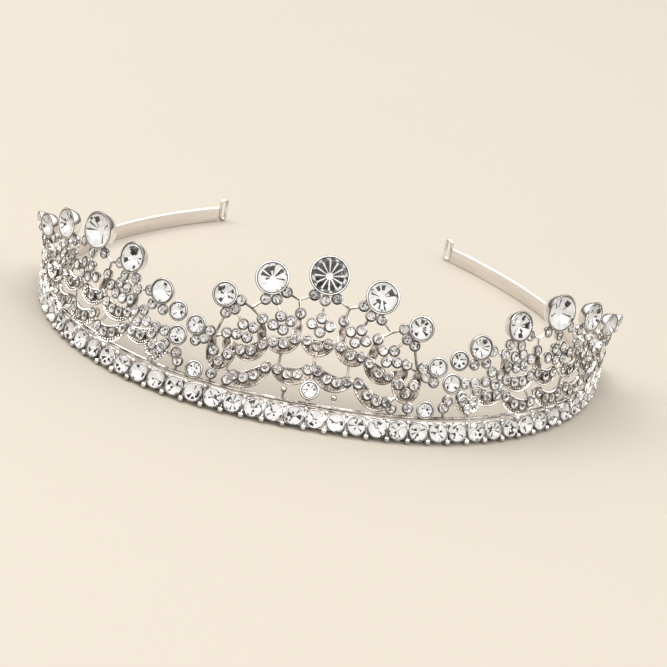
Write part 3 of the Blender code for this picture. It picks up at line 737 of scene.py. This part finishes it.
def make_crest():
    """Castings with their small collets and stones, one metal and one stone piece for each CAD casting."""
    metal = {name: bmesh.new() for name in ("crest_main", "crest_right", "crest_left")}
    gems = {name: bmesh.new() for name in metal}
    dice = random.Random(CREST_SEED)
    stones, wires, crescents, beads, petals = crest_plan()
    seen = set()

    def fresh(*spots):
        key = tuple(sorted((round(s, 1), round(h, 1)) for s, h in spots))
        if key in seen:
            return False
        seen.add(key)
        return True

    for side in (1, -1):
        for s, h in stones:
            if fresh((side * s, h)):
                home = node_of(side * s)
                matrix = crest_frame(side * s * MM, h * MM, 0)
                lathe(metal[home], matrix, [(r * MM, z * MM) for r, z in COLLET], 20, dark=COLLET_DARK)
                turn = Matrix.Rotation(dice.uniform(0, math.pi / 3), 4, "Z")
                tilt = skew(dice, SMALL_TILT)
                brilliant(gems[home], matrix @ Matrix.Translation((0, 0, 0.40 * MM)) @ tilt @ turn,
                          1.00 * MM, 0.24 * MM, 0.5 * MM, dice, SMALL_DARK_SHARE, table=0.55, mains=6)
        for start, end in wires:
            if fresh((side * start[0], start[1]), (side * end[0], end[1])):
                home = node_of(side * (start[0] + end[0]) / 2)
                points = [place(side * (start[0] + t * (end[0] - start[0])) * MM,
                                (start[1] + t * (end[1] - start[1])) * MM, CREST_DEPTH)
                          for t in WIRE_SHARES]
                tube(metal[home], points, WIRE_RADIUS, 8)
        for scallop in crescents:
            ends = ((side * scallop[0][0], scallop[0][1]), (side * scallop[1][0], scallop[1][1]))
            if fresh(*ends, (99, scallop[2])):
                crescent(metal[node_of(side * (scallop[0][0] + scallop[1][0]) / 2)], scallop, side)
        for foot, tip in petals:
            petal(metal[node_of(side * tip[0])], foot, tip, side)
        for s, h in beads:
            if fresh((side * s, h), (99, 0)):
                ball(metal[node_of(side * s)], place(side * s * MM, h * MM, CREST_DEPTH), POST_BEAD_RADIUS)
    for _, station, height, _ in both_sides(DROP_STONES):
        tube(metal["crest_main"], [place(station, height, DROP_POST_DEPTH),
                                   place(station, RAIL_HEIGHT, CREST_DEPTH)], DROP_POST_RADIUS, 8)
    tube(metal["crest_main"], [place(0, h * MM, CREST_DEPTH) for h in CENTRE_WIRE], CENTRE_WIRE_RADIUS, 8)
    for low, high, home in ((-SPLIT_STATION, SPLIT_STATION, "crest_main"),
                            (SPLIT_STATION, CREST_END, "crest_right"),
                            (-CREST_END, -SPLIT_STATION, "crest_left")):
        steps = round((high - low) / RAIL_STEP)
        tube(metal[home], [place(low + k * (high - low) / steps, RAIL_HEIGHT, CREST_DEPTH)
                           for k in range(steps + 1)], RAIL_RADIUS, 8)
    for name in metal:
        tag = name.replace("crest_", "")
        plain = CAST if name == "crest_main" else POLISHED
        make_piece("casting_" + tag, metal[name], [plain, PAINTED_SHADE_METAL, GRAINED], "cast_silver", name, sharp=40)
        make_piece("pave_" + tag, gems[name], [CRYSTAL, FOIL], "crystal")


# ---------------------------------------------------------------- cups and their crystals

def make_cup(name, matrix, diameter, depth, node):
    """Polished tapered cup with a rounded lip; its seat under the stone and the outer edge of its lip are
    painted dark as shade.
    """
    rim = diameter / 2
    bore = rim - 0.56 * MM
    lip = 0.12 * MM
    profile = ((0, 0), (rim * CUP_TAPER - lip, 0), (rim * CUP_TAPER, lip), (rim * 0.90, depth * 0.5),
               (rim - 0.01 * MM, depth - 2 * lip), (rim, depth - lip), (rim - 0.12 * MM, depth - 0.02 * MM),
               (rim - 0.22 * MM, depth + 0.02 * MM), (rim - 0.36 * MM, depth),
               (rim - 0.40 * MM, depth - 0.12 * MM),
               (bore, depth - 0.22 * MM), (bore - 0.05 * MM, depth - 0.6 * MM), (bore * CUP_TAPER, 0.45 * MM),
               (0, 0.4 * MM))
    bm = bmesh.new()
    # segments 5 and 8 to 12, the lip's outer edge and the seat, are painted dark as shade
    lathe(bm, matrix, profile, 64, dark=(5, 8, 9, 10, 11, 12))
    nodes = [node] if node else []
    make_piece("bezel_" + name, bm, [POLISHED, PAINTED_SHADE_METAL], "cast_silver", *nodes, sharp=50)


def make_stones():
    for name, station, height, diameter in both_sides(TOP_STONES + DROP_STONES):
        kind = name.split("_")[0]
        dice = random.Random(name)
        if kind.startswith("d"):
            depth, matrix, node = DROP_CUP_DEPTH, crest_frame(station, height, DROP_CUP_BACK), None
        else:
            depth, node = CUP_DEPTH_RATIO * diameter + CUP_EXTRA_DEPTH, "cup_" + name
            matrix = crest_frame(station, height, CUP_RIM_DEPTH - depth)
            towards_front = math.copysign(math.radians(CUP_TURNS.get(kind, 0.0)), -station)
            matrix = matrix @ Matrix.Rotation(towards_front, 4, "Y")
        make_cup(name, matrix, diameter, depth, node)
        bm = bmesh.new()
        turn = Matrix.Rotation(dice.uniform(0, math.pi / 6), 4, "Z")
        brilliant(bm, matrix @ Matrix.Translation((0, 0, depth - STONE_RECESS)) @ turn,
                  diameter / 2 - STONE_MARGIN, STONE_CROWN_RATIO * diameter, depth - STONE_FLOOR,
                  dice, DARK_SHARES.get(kind, LARGE_DARK_SHARE))
        make_piece("gem_" + name, bm, [CRYSTAL, FOIL], "crystal", "crystal_" + name)


# ---------------------------------------------------------------- floor, light and camera

FLOOR_HALF_SIZE = 3.0
# Studio sky by the height of the direction: 0 is the horizon and all below it, 1 is straight up
SKY_LOW, SKY_HIGH = (0.0, (0.050, 0.045, 0.042, 1)), (0.82, (1.30, 1.28, 1.25, 1))
SKY_BETWEEN = ((0.22, (0.15, 0.14, 0.13, 1)), (0.42, (0.85, 0.83, 0.80, 1)))
SKY_STRENGTH = 1.97
LAMPS = (("key", (-0.55, 0.15, 0.75), 0.5, 5.0), ("fill", (0.6, -0.5, 0.7), 0.35, 3.4))
LAMP_COLOUR = (1.0, 0.97, 0.93)
LAMP_TARGET = Vector((0, 0.03, 0))


def make_stage():
    bm = bmesh.new()
    bmesh.ops.create_grid(bm, x_segments=2, y_segments=2, size=FLOOR_HALF_SIZE)
    mesh = bpy.data.meshes.new("floor")
    bm.to_mesh(mesh)
    bm.free()
    mesh.materials.append(node_material("pale_floor", (0.315, 0.288, 0.246), (0.324, 0.296, 0.254),
                                        (0.75, 0.85), 0.0, 8, 0))
    floor = bpy.data.objects.new("floor", mesh)
    bpy.context.scene.collection.objects.link(floor)

    world = bpy.data.worlds.new("studio")
    bpy.context.scene.world = world
    world.use_nodes = True
    nodes, links = world.node_tree.nodes, world.node_tree.links
    coords = nodes.new("ShaderNodeTexCoord")
    split = nodes.new("ShaderNodeSeparateXYZ")
    ramp = nodes.new("ShaderNodeValToRGB")
    tones = ramp.color_ramp.elements
    tones[0].position, tones[0].color = SKY_LOW
    tones[1].position, tones[1].color = SKY_HIGH
    for position, tone in SKY_BETWEEN:
        tones.new(position).color = tone
    links.new(coords.outputs["Generated"], split.inputs["Vector"])
    links.new(split.outputs["Z"], ramp.inputs["Fac"])
    links.new(ramp.outputs["Color"], nodes["Background"].inputs["Color"])
    nodes["Background"].inputs["Strength"].default_value = SKY_STRENGTH

    for name, spot, size, energy in LAMPS:
        light = bpy.data.lights.new(name, "AREA")
        light.size = size
        light.energy = energy
        light.color = LAMP_COLOUR
        lamp = bpy.data.objects.new(name, light)
        lamp.location = spot
        lamp.rotation_euler = (LAMP_TARGET - Vector(spot)).to_track_quat("-Z", "Y").to_euler()
        bpy.context.scene.collection.objects.link(lamp)


SENSOR_WIDTH, LENS = 36.0, 129.5    # mm
CAMERA_RIGHT, CAMERA_UP = Vector((0.98445, 0.06296, 0.16400)), Vector((-0.17532, 0.41097, 0.89464))
CAMERA_SPOT = (-0.00297, -0.49363 - BAND_INSET, 0.25119)


def make_camera():
    data = bpy.data.cameras.new("camera")
    data.sensor_width = SENSOR_WIDTH
    data.lens = LENS
    camera = bpy.data.objects.new("camera", data)
    matrix = Matrix((CAMERA_RIGHT, CAMERA_UP, CAMERA_RIGHT.cross(CAMERA_UP))).transposed().to_4x4()
    matrix.translation = CAMERA_SPOT
    camera.matrix_world = matrix
    bpy.context.scene.collection.objects.link(camera)
    bpy.context.scene.camera = camera
    bpy.context.scene.view_settings.view_transform = "Standard"


make_headband()
make_end_hoop("_right", 1)
make_end_hoop("_left", -1)
make_base_row()
make_crest()
make_stones()
make_stage()
make_camera()
